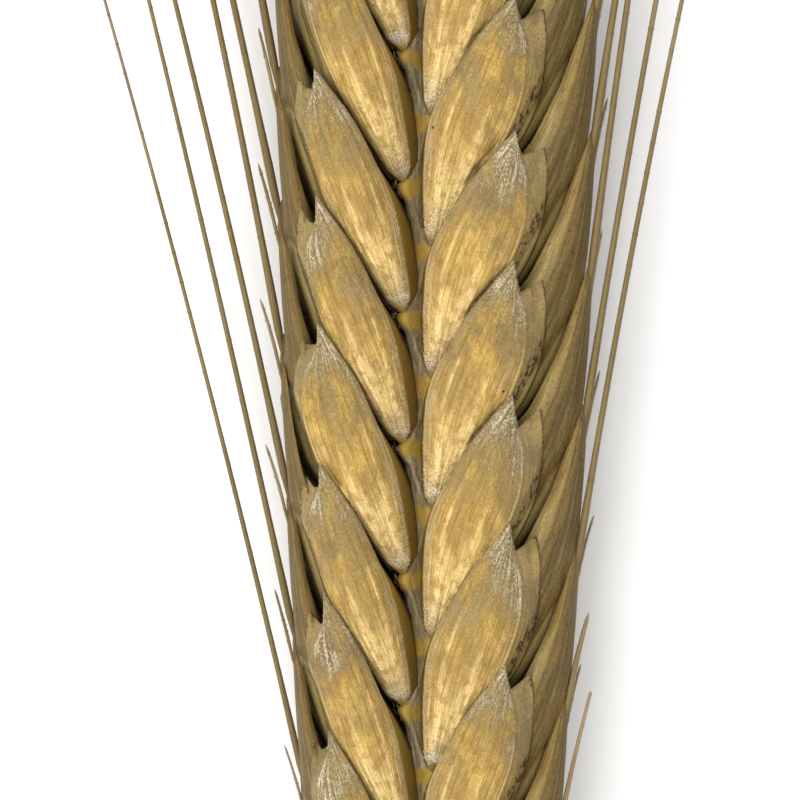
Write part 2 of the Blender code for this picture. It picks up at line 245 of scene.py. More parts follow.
def clamp(value):
    """Values kept from 0 to 1."""
    return np.clip(value, 0, 1)


def length_at(place):
    """Share of full length for the spikelet at one place along the ear."""
    return float(np.interp(place, PLACES, LENGTHS))


def width_at(place):
    """Share of full width for the spikelet at one place along the ear."""
    return float(np.interp(place, PLACES, WIDTHS))


def row_of(place):
    """The side on which a spikelet stands: 1 for the right row and -1 for the left one."""
    return 1 if place % 2 == 0 else -1


def lemma_of(place):
    """The lemma table of the row in which a place lies."""
    return LEMMA_RIGHT if row_of(place) > 0 else LEMMA_LEFT


def rails(side):
    """The inner rail, the keel and the outer margin of the front or the back glume."""
    if side > 0:
        return INNER_FRONT, KEEL_FRONT, MARGIN_FRONT
    return INNER_BACK, KEEL_BACK, MARGIN_BACK


def between(table, height, column):
    """Values of a table at some heights."""
    rows = np.array(table)
    return np.interp(height, rows[:, 0], rows[:, column])


def curve(stations, share):
    """A smooth run through stations, at shares from 0 to 1 of the way."""
    stations = np.array(stations, float)
    last = len(stations) - 1
    way = np.asarray(share) * last
    here = np.minimum(way.astype(int), last - 1)
    part = (way - here).reshape((-1,) + (1,) * (stations.ndim - 1))
    before, start = stations[np.maximum(here - 1, 0)], stations[here]
    end, after = stations[here + 1], stations[np.minimum(here + 2, last)]
    bend = (2 * before - 5 * start + 4 * end - after) * part ** 2
    twist = (3 * start - before - 3 * end + after) * part ** 3
    return 0.5 * (2 * start + (end - before) * part + bend + twist)


def body_start(place, height, depth):
    """How far out a full spikelet's body starts. Its inner face slants, so that rows lap there."""
    table = lemma_of(place)
    share = clamp(depth / between(table, height, 3))
    lap = BODY_LAP * clamp((height - LAP_FROM) / LAP_OVER)
    room_above = SPREAD.get(place + 2, 0) * clamp((height - 7) / 1.5) * clamp(12.5 - height)
    return between(table, height, 1) + lap * (1 - share) + room_above


def start_of(place, side, height, depth):
    """How far out a full spikelet starts, at some heights and depths. Its tooth is only a thin skin."""
    inner, _, margin = rails(side)
    body = body_start(place, height, depth)
    rail_out, rail_depth = between(inner, height, 1), between(inner, height, 2)
    root_out = rail_out + UNDERSIDE * (between(margin, height, 1) - rail_out)
    thin = thinning(height)
    root_depth = (1 - thin) * UNDERSIDE * between(margin, height, 2) + thin * (rail_depth - 2 * SKIN)
    way = np.maximum(0, (rail_depth - depth) / (rail_depth - root_depth))
    hung = np.minimum(body, rail_out + way * (root_out - rail_out))
    return np.where(height > inner[-1][0], body, hung)


def thinning(height):
    """How far a glume has thinned to a skin at some heights."""
    return clamp((height - 5.2) / 2.2)


def fitted(place, side, points, roll):
    """Points of a spikelet, drawn in where the one below it in its row would meet it, and rolled down
    toward it. Also how much room each has before it comes close to that one."""
    below = place - 2
    if below < 0:
        return points, np.full(points.shape[:-1], FREE_ROOM)
    stretch = length_at(place) / length_at(below)
    level = points[..., 1] * stretch + 2 * INTERNODE / length_at(below)
    low = clamp((level - 8) / 2.5)
    facing = np.maximum(points[..., 2], CREST + low * (points[..., 2] - CREST))
    facing = np.where(points[..., 2] > LEDGE, facing, points[..., 2])
    limit = start_of(below, side, level, facing * stretch) * width_at(below) - ROW_GAP
    limit = limit / width_at(place) + TIP_ROOM * clamp((level - LEMMA_TIP) / TIP_OVER + 1) ** 2
    room = limit - points[..., 0]
    fall, width, reach = roll
    rolled = points[..., 2] - fall * clamp(1 - room / width) ** 2
    depth = np.maximum(rolled, np.minimum(points[..., 2], ROLL_FLOOR))
    limit = limit + reach * clamp((CREST - depth) / REACH_FALL)
    fit = np.stack([np.minimum(points[..., 0], limit), points[..., 1], depth], axis=-1)
    return fit, np.clip(room, -reach, FREE_ROOM)


def swap(rows):
    """Tables give height first. Points have the distance out first."""
    return rows[..., [1, 0, 2]]


def new_shape():
    """An empty shape with the layers that the finishes read."""
    bm = bmesh.new()
    bm.loops.layers.uv.new("along")
    bm.verts.layers.float.new("room")
    return bm


def moulded(points, across=None, room=None):
    """A closed skin on rows of points. Its long sides are joined and its ends filled."""
    rows, columns = points.shape[0] - 1, points.shape[1] - 1
    if across is None:
        across = np.linspace(0, 1, columns + 1)
    bm = new_shape()
    bmesh.ops.create_grid(bm, x_segments=columns, y_segments=rows, size=0.5)
    along, rooms = bm.loops.layers.uv["along"], bm.verts.layers.float["room"]
    for number, (vert, point) in enumerate(zip(bm.verts, points.reshape(-1, 3))):
        row, column = divmod(number, columns + 1)
        vert.co = point
        if room is not None:
            vert[rooms] = room[row, column]
        for loop in vert.link_loops:
            loop[along].uv = (across[column], row / rows)
    bmesh.ops.remove_doubles(bm, verts=bm.verts, dist=WELD)
    bmesh.ops.holes_fill(bm, edges=bm.edges, sides=0)
    bmesh.ops.recalc_face_normals(bm, faces=bm.faces)
    return bm


def draped(place, side, point):
    """A point of a wing, lifted where it would sink into the lemma under it."""
    length = 1 if side > 0 else SHORT_LEMMA
    body = lemma_rows(place, side, length)
    rows = np.interp(point[:, 1], body[:, 0, 1], np.arange(len(body))).astype(int)
    for i, row in enumerate(rows):
        over = body[row, :LEMMA_TOP_COLUMNS + 1]
        rest = np.interp(point[i, 0], np.maximum.accumulate(over[:, 0]), over[:, 2])
        point[i, 2] = max(point[i, 2], rest + WING_LIFT)
    return point


def glume_points(place, side, draw):
    """Points of a glume by rows up the ear, and by columns from the foot of its inner flank, over its
    face and its wing and round its back. Also their places across it and the room that each has."""
    share = np.linspace(0, 1, GLUME_ROWS + 1)
    inner, keel, margin = (swap(curve(rail, share)) for rail in rails(side))
    for rail in (inner, keel, margin):
        rail[:, 1] *= 1 + HABITS.get(place, 0) * share
    for rail in (keel, margin):
        rail[:, 0] += SPREAD.get(place, 0) * np.sin(math.pi * clamp(share * 1.25 - 0.15)) ** 0.7
        rail[:, 0] += BASE_BROAD * clamp(share * 12) * clamp(1 - share * 3)
    keel[:, 1] += draw.uniform(0, 0.45) * share ** 6
    margin[:, 1] += draw.uniform(0.1, 0.45) * share ** 6
    bulge = curve(FACE_BULGE, share) * draw.uniform(0.92, 1.1)
    step = clamp(share * 9) * clamp((0.62 - share) * 4)
    foot = inner.copy()
    foot[:, 0] -= step * (FLANK_FRONT if side > 0 else FLANK_BACK)
    foot[:, 2] = np.maximum(foot[:, 2] - step * FLANK_DEPTH, FLANK_FLOOR)
    face, wing, rooms = [], [], []
    for way in np.linspace(0, 1, FACE_COLUMNS + 1):
        point = inner + way * (keel - inner)
        point[:, 2] += bulge * 1.05 * (1 - abs(2 * way - 1) ** 2.4)
        point[:, 2] += RIB * math.sin(way * RIBS * 2 * math.pi) * clamp(4 * share * (1.15 - share))
        point[:, 2] += 0.04 * math.exp(-((1 - way) / 0.04) ** 2) * clamp(share * 3)
        fit, room = fitted(place, side, point, FACE_ROLL)
        face.append(fit if way else point)
        rooms.append(room)
    for way in np.linspace(0, 1, WING_COLUMNS + 1)[1:]:
        point = keel + way * (margin - keel)
        point[:, 1] -= 0.12 * math.sin(math.pi * min(1, way * 1.4)) * share ** 6
        point[:, 2] += 0.1 * math.sin(math.pi * way)
        fit, room = fitted(place, side, draped(place, side, point), WING_ROLL)
        wing.append(fit)
        rooms.append(room)
    top = face + wing
    flank = [foot + way * (inner - foot) for way in np.linspace(0, 1, FLANK_COLUMNS + 1)[:-1]]
    root = foot + UNDERSIDE * (top[-1] - foot)
    root[:, 2] = UNDERSIDE * top[-1][:, 2]
    thin = thinning(inner[:, 1])[:, None]
    back = []
    for i in range(1, BACK_COLUMNS):
        way = i / BACK_COLUMNS
        deep = top[-1] + min(1, 2 * way) * (root - top[-1]) + max(0, 2 * way - 1) * (foot - root)
        close = top[round((len(top) - 1) * (1 - way))] - (0, 0, SKIN)
        back.append(deep + thin * (close - deep))
    points = np.stack(flank + top + back + [foot], axis=1)
    open_share = clamp(share / FOOT_CLOSE)[:, None]
    core = points.mean(axis=1, keepdims=True)
    points = core + np.sqrt(open_share)[..., None] * (points - core)
    points[..., 1] -= FOOT_DROP * (1 - open_share) ** 2
    points[..., 2] -= FOOT_SINK * (1 - open_share) ** 2
    points[..., 2] *= side
    across = [i / FLANK_COLUMNS - 1 for i in range(FLANK_COLUMNS)]
    across += [i / FACE_COLUMNS for i in range(FACE_COLUMNS + 1)]
    across += [1 + (i + 1) / WING_COLUMNS for i in range(WING_COLUMNS)]
    across += [2 + (i + 1) / BACK_COLUMNS for i in range(BACK_COLUMNS)]
    beside = [rooms[0]] * FLANK_COLUMNS + rooms + [rooms[0]] * BACK_COLUMNS
    return points, across, np.stack(beside, axis=1)


def lemma_rows(place, side, length):
    """Points of a lemma by rows up the ear, and by columns from its inner edge over its top and back."""
    share = np.linspace(0, 1, LEMMA_ROWS + 1)
    height, inner, outer, top, floor = curve(lemma_of(place), share).T
    outer = outer + SPREAD.get(place, 0) * clamp((height - 1.5) / 1.5) * clamp((8 - height) / 2)
    shoulder = floor + LEMMA_SHOULDER * (top - floor)
    inset = SHORT_INSET if side < 0 else 0
    lip = SKIN * clamp((11 - height) / 3)
    corners = np.stack([
        np.stack([body_start(place, height, floor) + inset, height * length, floor], axis=1),
        np.stack([body_start(place, height, shoulder) + inset + lip, height * length, shoulder], axis=1),
        np.stack([(inner + outer) / 2, height * length, top], axis=1),
        np.stack([outer - inset, height * length, (floor + top) / 2], axis=1),
        np.stack([outer - inset, height * length, floor], axis=1),
    ])
    over = curve(corners, np.linspace(0, 1, LEMMA_TOP_COLUMNS + 1))
    back = np.linspace(0, 1, LEMMA_BACK_COLUMNS + 1)[1:, None, None]
    under = corners[-1] + back * (corners[0] - corners[-1])
    rings = np.concatenate([over, under]).transpose(1, 0, 2)
    core = np.stack([outer - AWN_INSET, height * length, 0 * height + LEMMA_TIP_DEPTH], axis=1)[:, None]
    close = np.sqrt(clamp((LEMMA_TIP - height) / TIP_CLOSE))[:, None, None]
    return core + close * (rings - core)


def lemma_points(place, side, length):
    """Points of a lemma that lies in its row, and the room that each has."""
    points, room = fitted(place, side, lemma_rows(place, side, length), BODY_ROLL)
    points[:, -1] = points[:, 0]
    points[..., 2] *= side
    return points, room


def awn_line(length, lean, bow, rise, base, rows=AWN_ROWS):
    """Points along an awn, which leans outward and bows a little more on its way."""
    way = np.linspace(0, 1, rows + 1)
    angle = lean + bow * way
    climb = rise * way ** AWN_RISE_POWER
    return np.stack([length * way * np.sin(angle), length * way * np.cos(angle), climb], axis=1) + base


def tube_points(line, radii, columns):
    """Points of a round tube along a line."""
    ahead = np.gradient(line, axis=0)
    ahead /= np.linalg.norm(ahead, axis=1)[:, None]
    up = np.array([0, 0, 1.0])
    flat = np.cross(ahead, up)
    flat /= np.linalg.norm(flat, axis=1)[:, None]
    lift = np.cross(flat, ahead)
    turn = np.linspace(0, 2 * math.pi, columns + 1)
    ring = flat[:, None] * np.cos(turn)[:, None] + lift[:, None] * np.sin(turn)[:, None]
    points = line[:, None] + np.asarray(radii)[:, None, None] * ring
    points[:, -1] = points[:, 0]
    return points


def awn_points(length, lean, bow, rise, base):
    """Points of one awn."""
    rows = AWN_ROWS if length > 2 * SHORT_AWN else AWN_ROWS // 4
    line = awn_line(length, lean, bow, rise, np.array(base), rows)
    way = np.linspace(0, length / LONG_AWN, rows + 1)
    radii = np.interp(way, AWN_WAYS, AWN_RADII) * np.linspace(1, 0.6, rows + 1)
    if length == SHORT_AWN:
        radii *= SHORT_AWN_SLIM
    radii[-1] = 0.01
    return tube_points(line, radii, AWN_COLUMNS)


def spikes(roots, ways, radius):
    """Many slim spikes, each from its root along its way."""
    bm = new_shape()
    bmesh.ops.create_cone(bm, segments=3, radius1=1, radius2=0, depth=1, cap_ends=True)
    bmesh.ops.translate(bm, vec=(0, 0, 0.5), verts=bm.verts)
    number = bm.verts.layers.int.new("number")
    made = 1
    while made < len(ways):
        copies = bmesh.ops.duplicate(bm, geom=bm.verts[:] + bm.edges[:] + bm.faces[:])["geom"]
        for item in copies:
            if isinstance(item, bmesh.types.BMVert):
                item[number] += made
        made *= 2
    spare = [vert for vert in bm.verts if vert[number] >= len(ways)]
    bmesh.ops.delete(bm, geom=spare, context="VERTS")
    ways = np.array(ways)
    along = ways / np.linalg.norm(ways, axis=1)[:, None]
    helper = np.where(abs(along[:, 2:]) < 0.9, [[0, 0, 1.0]], [[1.0, 0, 0]])
    first = np.cross(along, helper)
    first *= radius / np.linalg.norm(first, axis=1)[:, None]
    second = np.cross(along, first)
    for vert in bm.verts:
        spike = vert[number]
        x, y, z = vert.co
        vert.co = roots[spike] + z * ways[spike] + x * first[spike] + y * second[spike]
    bm.verts.layers.int.remove(number)
    bmesh.ops.recalc_face_normals(bm, faces=bm.faces)
    return bm


def skin_hairs(points, side, draw, bed):
    """Roots and ways of hairs that lie along a glume, between some shares of its height and width."""
    count, rows, columns, length, lift = bed
    roots, ways = [], []
    for _ in range(count):
        row = int(draw.uniform(*rows) * (GLUME_ROWS - 1))
        column = FLANK_COLUMNS + int(draw.uniform(*columns) * FACE_COLUMNS)
        corner, ahead, beside = points[row, column], points[row + 1, column], points[row, column + 1]
        along, aside = ahead - corner, beside - corner
        if min(np.linalg.norm(along), np.linalg.norm(aside)) < 1e-4:
            continue
        away = np.cross(aside, along) * side
        away /= max(np.linalg.norm(away), 1e-9)
        along, aside = along / np.linalg.norm(along), aside / np.linalg.norm(aside)
        way = along + away * draw.uniform(*lift) + aside * draw.uniform(-0.5, 0.5)
        roots.append(corner + draw.random() * (ahead - corner) + draw.random() * (beside - corner))
        ways.append(way / np.linalg.norm(way) * draw.uniform(*length))
    return roots, ways


def joined(name, shapes):
    """One object from closed shapes, each a bmesh in millimetres with its finish."""
    finishes = []
    whole = bmesh.new()
    for shape, finish in shapes:
        if finish not in finishes:
            finishes.append(finish)
        for face in shape.faces:
            face.material_index = finishes.index(finish)
            face.smooth = True
        part = bpy.data.meshes.new(name + "_part")
        shape.to_mesh(part)
        shape.free()
        whole.from_mesh(part)
        bpy.data.meshes.remove(part)
    mesh = bpy.data.meshes.new(name)
    whole.to_mesh(mesh)
    whole.free()
    for finish in finishes:
        mesh.materials.append(finish)
    piece = bpy.data.objects.new(name, mesh)
    bpy.context.scene.collection.objects.link(piece)
    return piece


def lay_on_ear(piece, place):
    """Sizes a spikelet, turns it to its row, moves it to its joint and keeps it above the table."""
    row_turn = Matrix.Rotation(math.pi * (place % 2), 4, "Y")
    length = length_at(place)
    scale = Matrix.Diagonal((width_at(place) * MM, length * MM, length * MM, 1))
    joint = Vector((AXIS_X, FIRST_JOINT + place * INTERNODE * MM, AXIS_HEIGHT * MM))
    piece.data.transform(Matrix.Translation(joint) @ row_turn @ scale)
    for vertex in piece.data.vertices:
        vertex.co.z = max(vertex.co.z, 0.00001)


def barbs(points, draw, count):
    """Roots and ways of the fine teeth along an awn."""
    roots, ways = [], []
    rows = points.shape[0] - 2
    for _ in range(count):
        row = int(draw.uniform(0.02, 1) * rows)
        column = draw.randrange(AWN_COLUMNS)
        middle = points[row, :-1].mean(axis=0)
        along = points[row + 1, :-1].mean(axis=0) - middle
        along /= np.linalg.norm(along)
        away = points[row, column] - middle
        roots.append(middle + 0.8 * away)
        ways.append(along * 0.12 + away / np.linalg.norm(away) * 0.05)
    return roots, ways


def spikelet(place, leans, draw, finishes):
    """One fine spikelet: two glumes, two lemmas, a long awn, a short one, and their hairs and teeth."""
    name = f"husk_{place + 1:02d}"
    lean, bow, rise, long_awn = leans
    shapes, roots, ways = [], [], []
    for side in (1, -1):
        skin, across, room = glume_points(place, side, draw)
        shapes.append((moulded(skin, across, room), finishes["glume"]))
        body, room = lemma_points(place, side, 1 if side > 0 else SHORT_LEMMA)
        shapes.append((moulded(body, None, room), finishes["lemma"]))
        for bed in HAIR_BEDS:
            some_roots, some_ways = skin_hairs(skin, side, draw, bed)
            roots += some_roots
            ways += some_ways
    out = lemma_of(place)[-1][2] - AWN_INSET
    tops = ((1, long_awn, LEMMA_TIP, rise), (-1, SHORT_AWN, LEMMA_TIP * SHORT_LEMMA, 0))
    for side, length, tip, climb in tops:
        points = awn_points(length, lean, bow, climb, (out, tip - AWN_ROOT, side * LEMMA_TIP_DEPTH))
        shapes.append((moulded(points), finishes["awn"]))
        shapes.append((spikes(*barbs(points, draw, int(length * 6)), BARB_RADIUS), finishes["awn"]))
    shapes.append((spikes(roots, ways, HAIR_RADIUS), finishes["hair"]))
    piece = joined(name, shapes)
    lay_on_ear(piece, place)
    return piece


# Beds of hairs on a glume: count, shares of its height, places across it, and range of length and lift
HAIR_BEDS = (
    (150, (0.02, 0.2), (0.0, 0.55), (0.08, 0.2), (0.2, 0.9)),
    (60, (0.15, 0.5), (0.0, 0.12), (0.08, 0.18), (0.1, 0.6)),
    (45, (0.78, 0.99), (0.0, 1.0), (0.08, 0.16), (0.05, 0.3)),
    (16, (0.3, 0.98), (0.97, 1.0), (0.06, 0.1), (0.3, 0.8)),
    (12, (0.2, 0.9), (0.1, 1.4), (0.08, 0.16), (0.02, 0.25)),
)
HAIR_RADIUS = 0.011
BARB_RADIUS = 0.018


def spindle_points(rows, columns=24, steps=40):
    """Points of a small closed husk on the ear's axis."""
    height, middle, half_width, half_depth = curve(rows, np.linspace(0, 1, steps + 1)).T
    turn = np.linspace(0, 2 * math.pi, columns + 1)
    points = np.stack([
        middle[:, None] + half_width[:, None] * np.cos(turn),
        np.repeat(height[:, None], columns + 1, axis=1),
        half_depth[:, None] * np.sin(turn),
    ], axis=-1)
    points[:, -1] = points[:, 0]
    return points


def top_spikelet(draw, finishes):
    """The small fine spikelet that ends the ear."""
    shapes = [(moulded(spindle_points(TOP_BODY)), finishes["lemma"])]
    for side in (1, -1):
        rows = [(h, side * middle, width, depth) for h, middle, width, depth in TOP_GLUME]
        shapes.append((moulded(spindle_points(rows)), finishes["top"]))
        base = (side * TOP_AWN_ROOT[0], TOP_AWN_ROOT[1], 0)
        lean, bow = side * math.radians(TOP_LEAN), side * math.radians(TOP_BOW)
        points = awn_points(TOP_AWN, lean, bow, TOP_RISE, base)
        shapes.append((moulded(points), finishes["awn"]))
        shapes.append((spikes(*barbs(points, draw, 240), BARB_RADIUS), finishes["awn"]))
    piece = joined("husk_top", shapes)
    joint = Vector((AXIS_X, FIRST_JOINT + SPIKELETS * INTERNODE * MM, AXIS_HEIGHT * MM))
    piece.data.transform(Matrix.Translation(joint) @ Matrix.Scale(MM, 4))
    return piece


def stem(draw, finishes):
    """The cut straw and the rachis above it, with silky hairs along the rachis's two edges."""
    stations = []
    for y, size in STRAW_SIZES:
        droop = (AXIS_HEIGHT - STRAW_RADIUS) * (y / STRAW_LENGTH) ** 2
        stations.append((y, 0, AXIS_HEIGHT - droop, STRAW_RADIUS * size, STRAW_RADIUS * size))
    for place in range(SPIKELETS + 1):
        size = width_at(place)
        for height, shift, half_width, half_depth in RACHIS_JOINT:
            if place or height > RACHIS_START:
                middle = shift * size * row_of(place)
                y = place * INTERNODE + height
                stations.append((y, middle, AXIS_HEIGHT, half_width * size, half_depth * size))
    stations = np.array(stations)
    count = int((stations[-1, 0] - stations[0, 0]) / STEM_STEP)
    heights = np.linspace(stations[0, 0], stations[-1, 0], count)
    share = np.interp(heights, stations[:, 0], np.linspace(0, 1, len(stations)))
    y, x, z, half_width, half_depth = curve(stations, share).T
    turn = np.linspace(0, 2 * math.pi, STEM_COLUMNS + 1)
    aside = np.cos(turn)
    broad = np.maximum(RACHIS_BASE - half_width, 0) * clamp(y + 1)
    points = np.stack([
        x[:, None] * (1 - abs(aside) ** 8) + half_width[:, None] * aside + broad[:, None] * aside ** 7,
        np.repeat(y[:, None], STEM_COLUMNS + 1, axis=1),
        z[:, None] + half_depth[:, None] * np.sin(turn),
    ], axis=-1)
    points[:, -1] = points[:, 0]
    skin = moulded(points)
    roots, ways = [], []
    for _ in range(3600):
        row = draw.randrange(len(y))
        if y[row] < 0:
            continue
        side = draw.choice((1, -1))
        tilt = draw.uniform(-0.2, 1.1)
        reach = np.array([side * math.cos(tilt) * half_width[row], 0, math.sin(tilt) * half_depth[row]])
        roots.append(np.array([x[row], y[row], z[row]]) + reach * 0.97)
        ways.append(np.array([side * 0.08, draw.uniform(0.12, 0.3), draw.uniform(0.02, 0.12)]))
    shapes = [(skin, finishes["stem"]), (spikes(roots, ways, HAIR_RADIUS), finishes["hair"])]
    piece = joined("stem", shapes)
    place = Vector((AXIS_X, FIRST_JOINT, 0))
    piece.data.transform(Matrix.Translation(place) @ Matrix.Scale(MM, 4))
    return piece


def awn_leans():
    """Lean, bow, rise and length of each spikelet's long awn, drawn in the same order as the solids'."""
    draw = random.Random(DRAW_SEED)
    leans = []
    for place in range(SPIKELETS):
        length, row = length_at(place), row_of(place)
        widening = width_at(place + 2) - width_at(place)
        lean = LEAN_RIGHT if row > 0 else LEAN_LEFT
        lean = math.radians(lean + LEAN_CLEAR * max(widening, 0) + draw.uniform(-LEAN_SPREAD, LEAN_SPREAD))
        bow = math.radians(draw.uniform(*BOW))
        end = AWN_ENDS[place // 2 % len(AWN_ENDS)] + draw.uniform(-AWN_END_SPREAD, AWN_END_SPREAD)
        whole_awn = BROKEN_AWNS.get(place, 1)
        rise = whole_awn * (row * (end - AXIS_HEIGHT) / length - LEMMA_TIP_DEPTH)
        leans.append((lean, bow, rise, whole_awn * LONG_AWN / length))
    return leans


class Finish:
    """A material's nodes, put down and linked as they are asked for."""

    def __init__(self, name):
        self.material = bpy.data.materials.new(name)
        self.material.use_nodes = True
        self.nodes = self.material.node_tree.nodes
        self.links = self.material.node_tree.links
        self.shader = self.nodes["Principled BSDF"]
        self.husk_map = self.put("ShaderNodeUVMap", {}, uv_map="along").outputs[0]
        self.table_map = self.put("ShaderNodeTexCoord", {}).outputs["Object"]
        self.room = self.put("ShaderNodeAttribute", {}, attribute_name="room").outputs["Fac"]

    def put(self, kind, inputs, **settings):
        """A node with its settings, and values or links for its inputs."""
        node = self.nodes.new(kind)
        for name, value in settings.items():
            setattr(node, name, value)
        for name, value in inputs.items():
            self.join(node.inputs[name], value)
        return node

    def join(self, socket, value):
        """Links an output to a socket, or sets the socket to a plain value."""
        if isinstance(value, bpy.types.NodeSocket):
            self.links.new(value, socket)
        elif isinstance(value, tuple) and socket.type == "RGBA":
            socket.default_value = (*value, 1)
        else:
            socket.default_value = value

    def sized(self, vector, size, place=(0, 0, 0)):
        """Texture coordinates made larger and moved."""
        inputs = {"Vector": vector, "Scale": size, "Location": place}
        return self.put("ShaderNodeMapping", inputs).outputs[0]

    def noise(self, vector, size, detail=2.0, roughness=0.5):
        """Cloudy values about 0.5."""
        inputs = {"Vector": self.sized(vector, size), "Scale": 1.0, "Detail": detail, "Roughness": roughness}
        return self.put("ShaderNodeTexNoise", inputs).outputs["Fac"]

    def calc(self, operation, first, second=0.0, third=0.0):
        """One step of arithmetic."""
        inputs = {0: first, 1: second, 2: third}
        return self.put("ShaderNodeMath", inputs, operation=operation).outputs[0]

    def fade(self, value, start, end):
        """A soft step from 0 at start to 1 at end."""
        inputs = {"Value": value, "From Min": start, "From Max": end}
        node = self.put("ShaderNodeMapRange", inputs, interpolation_type="SMOOTHSTEP")
        return node.outputs[0]

    def band(self, value, middle, half, soft):
        """1 within half of the middle, and 0 past its soft edge."""
        far = self.calc("ABSOLUTE", self.calc("SUBTRACT", value, middle))
        return self.fade(far, half + soft, half)

    def both(self, first, second):
        """The product of two masks."""
        return self.calc("MULTIPLY", first, second)

    def paint(self, base, colour, share):
        """One colour laid over another."""
        node = self.put("ShaderNodeMix", {0: share, 6: base, 7: colour}, data_type="RGBA")
        return node.outputs[2]

    def shade(self, base, value):
        """A colour made darker or lighter by a value about 1."""
        grey = self.put("ShaderNodeCombineColor", {0: value, 1: value, 2: value}).outputs[0]
        inputs = {0: 1.0, 6: base, 7: grey}
        return self.put("ShaderNodeMix", inputs, data_type="RGBA", blend_type="MULTIPLY").outputs[2]

    def finish(self, colour, relief, relief_height, roughness, specular):
        """Joins colour, relief and gloss to the shader."""
        bump = self.put("ShaderNodeBump", {"Height": relief, "Distance": relief_height, "Strength": 1.0})
        self.join(self.shader.inputs["Base Color"], colour)
        self.join(self.shader.inputs["Normal"], bump.outputs[0])
        self.join(self.shader.inputs["Roughness"], roughness)
        self.shader.inputs["Specular IOR Level"].default_value = specular
        self.shader.inputs["Specular Tint"].default_value = (*WARM_GLOSS, 1)
        return self.material


def split(finish, vector):
    """The three parts of a vector."""
    return finish.put("ShaderNodeSeparateXYZ", {0: vector}).outputs


